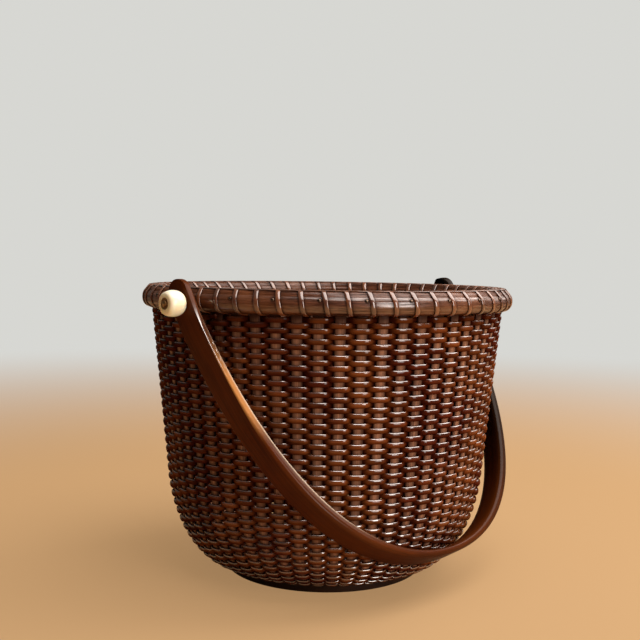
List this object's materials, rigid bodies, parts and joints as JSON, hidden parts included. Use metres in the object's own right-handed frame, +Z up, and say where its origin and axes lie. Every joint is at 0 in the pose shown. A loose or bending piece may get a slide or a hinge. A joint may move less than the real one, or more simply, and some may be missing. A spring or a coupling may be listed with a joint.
{
  "type": "swing-handled woven basket",
  "caption": "Round open basket of cane woven over wooden staves in a turned base, with a lashed half-round rim and a bentwood handle that swings on riveted knobs.",
  "frame": {"origin": "middle of the base's underside, on the basket's axis", "axes": "+Z up, X along the handle's pivot line, and the hanging handle lies towards -Y"},
  "size_m": [0.2788, 0.2401, 0.1886],
  "materials": {
    "base_wood": "dark stained turned hardwood, satin",
    "stave_wood": "split wood darkened by age, satin varnish",
    "weaver_cane": "round cane, dark red-brown, glossy varnish",
    "hoop_wood": "half-round bentwood with long grain, satin varnish",
    "lashing_cane": "flat cane strand, glossy varnish",
    "handle_wood": "steam-bent hardwood, dark, polished",
    "knob_bone": "ivory-coloured turned bone or resin, polished",
    "rivet_metal": "darkened copper alloy",
    "nail_metal": "small round nail heads, tarnished"
  },
  "bodies": {
    "basket": {"base_plate": "base_wood", "base_plug": "base_wood", "staves": "stave_wood", "woven_wall": "weaver_cane", "outer_hoop": "hoop_wood", "inner_hoop": "hoop_wood", "rim_cap": "hoop_wood", "rim_lashing": "lashing_cane", "rim_nail_01": "nail_metal", "rim_nail_02": "nail_metal", "rim_nail_03": "nail_metal", "rim_nail_04": "nail_metal", "rim_nail_05": "nail_metal", "rim_nail_06": "nail_metal", "rim_nail_07": "nail_metal", "rim_nail_08": "nail_metal", "rim_nail_09": "nail_metal", "rim_nail_10": "nail_metal", "rim_nail_11": "nail_metal", "rim_nail_12": "nail_metal", "rim_nail_13": "nail_metal", "rim_nail_14": "nail_metal", "rim_nail_15": "nail_metal", "rim_nail_16": "nail_metal", "rim_nail_17": "nail_metal", "rim_nail_18": "nail_metal", "rim_nail_19": "nail_metal", "rim_nail_20": "nail_metal", "rim_nail_21": "nail_metal", "rim_nail_22": "nail_metal", "rim_nail_23": "nail_metal", "rim_nail_24": "nail_metal", "rim_nail_25": "nail_metal", "rim_nail_26": "nail_metal", "knob_left": "knob_bone", "knob_right": "knob_bone", "rivet_left": "rivet_metal", "rivet_right": "rivet_metal", "burr_left": "rivet_metal", "burr_right": "rivet_metal"},
    "handle": {"swing_handle": "handle_wood"}
  },
  "joints": [
    {"name": "handle_swing", "type": "hinge", "parent": "basket", "child": "handle", "pos_m": [0, -0.0066, 0.1751], "axis": [-1, 0, 0], "range_deg": [0, 288.7]}
  ]
}
